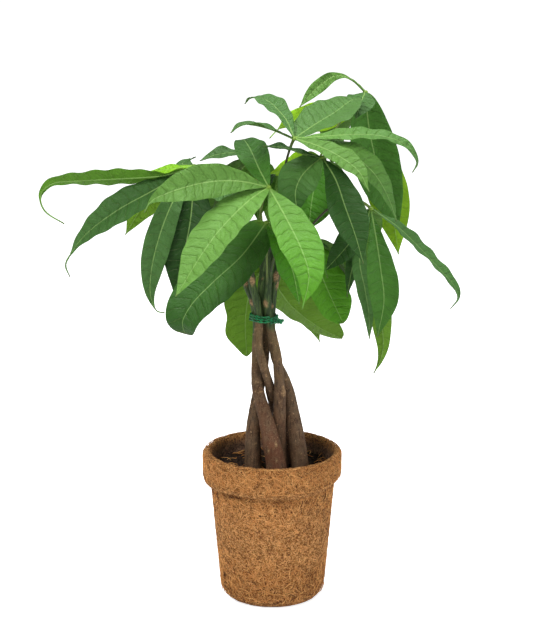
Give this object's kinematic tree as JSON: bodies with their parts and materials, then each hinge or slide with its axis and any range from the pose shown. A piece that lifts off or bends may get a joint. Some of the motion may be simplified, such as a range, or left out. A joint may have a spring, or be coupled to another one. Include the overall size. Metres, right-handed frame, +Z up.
{
  "type": "potted plant",
  "caption": "Braided money tree with palmate leaves, its stems held by a twist tie and standing in soil in a pressed coir pot.",
  "frame": {"origin": "centre of the pot's foot, on the surface the pot stands on", "axes": "+Z up along the pot's axis, -Y towards the picture's camera, +X to the picture's right"},
  "size_m": [0.4068, 0.3368, 0.5229],
  "materials": {
    "coir": "pressed coconut fibre, matte",
    "soil": "dark peat with fibres, matte",
    "bark": "fine cracked bark, green above the tie",
    "tie_wire": "green plastic coated wire",
    "leaf": "living leaf, satin",
    "leaf_light": "young living leaf, satin",
    "leaf_dark": "older living leaf, satin"
  },
  "bodies": {
    "root": {"coir_pot": "coir", "potting_soil": "soil", "stem_back": "bark", "stem_left": "bark", "stem_front": "bark", "stem_middle": "bark", "stem_right": "bark", "twist_tie": "tie_wire", "leaf_front_centre": "leaf_light", "leaf_front_low": "leaf", "leaf_left": "leaf", "leaf_top": "leaf_light", "leaf_high_right": "leaf", "leaf_right": "leaf", "leaf_upper_front": "leaf_dark", "leaf_inner": "leaf_dark", "leaf_back_low": "leaf", "leaf_back_left": "leaf_dark", "leaf_back_right": "leaf", "leaf_back": "leaf"}
  },
  "joints": []
}
